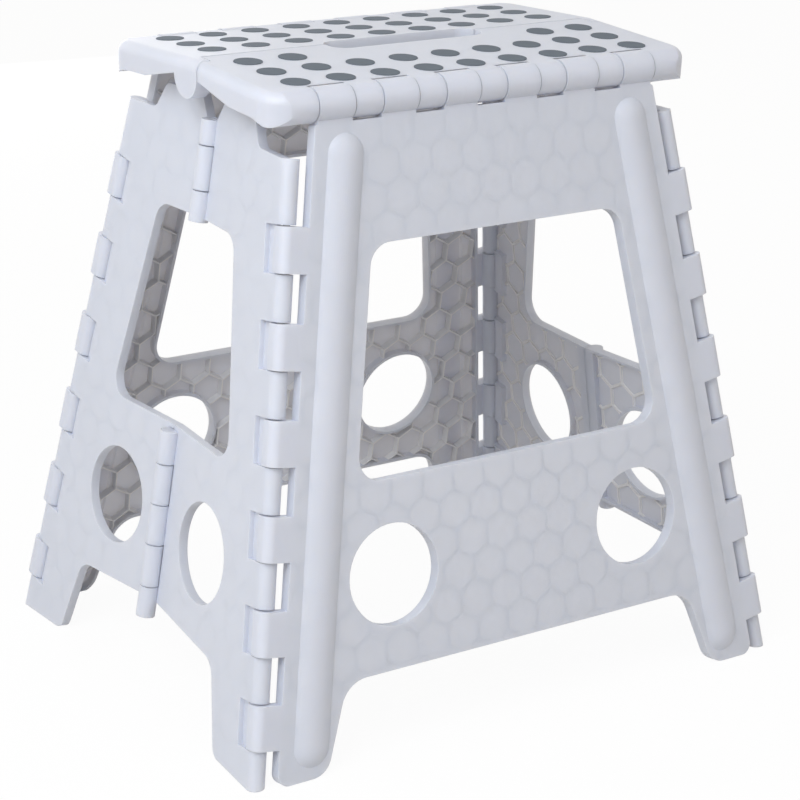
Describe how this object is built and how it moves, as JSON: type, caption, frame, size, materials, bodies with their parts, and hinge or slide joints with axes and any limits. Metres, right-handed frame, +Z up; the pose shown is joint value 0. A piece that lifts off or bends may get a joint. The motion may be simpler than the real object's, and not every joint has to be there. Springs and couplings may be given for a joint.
{
  "type": "folding step stool",
  "caption": "Folding step stool: moulded panels hinged on converging corner lines, a top that breaks upwards with a carrying slot, round grip dots and windowed legs.",
  "frame": {"origin": "centre of the feet at floor level", "axes": "+X to the right along the stool, -Y out of the front face, +Z up"},
  "size_m": [0.4552, 0.3704, 0.4593],
  "materials": {
    "moulded_plastic": "satin moulded",
    "grip_rubber": "matt",
    "hinge_steel": "drawn wire"
  },
  "bodies": {
    "front_frame": {"front_legs": "moulded_plastic", "top_front_rod": "hinge_steel", "corner_rod_front_left": "hinge_steel", "corner_rod_front_right": "hinge_steel"},
    "left_front": {"left_side_front": "moulded_plastic", "side_pin_upper_left": "hinge_steel", "side_pin_lower_left": "hinge_steel"},
    "left_rear": {"left_side_rear": "moulded_plastic"},
    "rear_frame": {"rear_legs": "moulded_plastic", "top_rear_rod": "hinge_steel", "corner_rod_rear_left": "hinge_steel", "corner_rod_rear_right": "hinge_steel"},
    "right_front": {"right_side_front": "moulded_plastic", "side_pin_upper_right": "hinge_steel", "side_pin_lower_right": "hinge_steel"},
    "right_rear": {"right_side_rear": "moulded_plastic"},
    "top_front": {"top_front": "moulded_plastic", "top_pin_left": "hinge_steel", "top_pin_right": "hinge_steel", "grip_dots_front": "grip_rubber"},
    "top_rear": {"top_rear": "moulded_plastic", "grip_dots_rear": "grip_rubber"}
  },
  "joints": [
    {"name": "left_front_corner", "type": "hinge", "parent": "front_frame", "child": "left_front", "pos_m": [-0.221, -0.175, 0], "axis": [-0.1559, -0.1624, -0.9743], "range_deg": [0, 83.74]},
    {"name": "left_side_fold", "type": "hinge", "parent": "left_front", "child": "left_rear", "pos_m": [-0.221, 0, 0], "axis": [0.158, 0, 0.9874], "range_deg": [0, 164]},
    {"name": "left_rear_corner", "type": "hinge", "parent": "left_rear", "child": "rear_frame", "pos_m": [-0.221, 0.175, 0], "axis": [-0.1559, 0.1624, -0.9743], "range_deg": [0, 83.74]},
    {"name": "right_front_corner", "type": "hinge", "parent": "front_frame", "child": "right_front", "pos_m": [0.221, -0.175, 0], "axis": [-0.1559, 0.1624, 0.9743], "range_deg": [0, 83.74]},
    {"name": "right_rear_corner", "type": "hinge", "parent": "rear_frame", "child": "right_rear", "pos_m": [0.221, 0.175, 0], "axis": [0.1559, 0.1624, -0.9743], "range_deg": [0, 83.74]},
    {"name": "top_front_edge", "type": "hinge", "parent": "front_frame", "child": "top_front", "pos_m": [0, -0.10512, 0.4433], "axis": [1, 0, 0], "range_deg": [0, 70.25]},
    {"name": "top_rear_edge", "type": "hinge", "parent": "rear_frame", "child": "top_rear", "pos_m": [0, 0.10512, 0.4433], "axis": [-1, 0, 0], "range_deg": [0, 70.25]}
  ],
  "couplings": [
    {"joint": "left_front_corner", "follows": "left_side_fold", "ratio": 0.5088},
    {"joint": "left_rear_corner", "follows": "left_side_fold", "ratio": 0.5088},
    {"joint": "right_front_corner", "follows": "left_side_fold", "ratio": 0.5088},
    {"joint": "right_rear_corner", "follows": "left_side_fold", "ratio": 0.5088},
    {"joint": "top_front_edge", "follows": "left_side_fold", "ratio": 0.4265},
    {"joint": "top_rear_edge", "follows": "left_side_fold", "ratio": 0.4265}
  ]
}
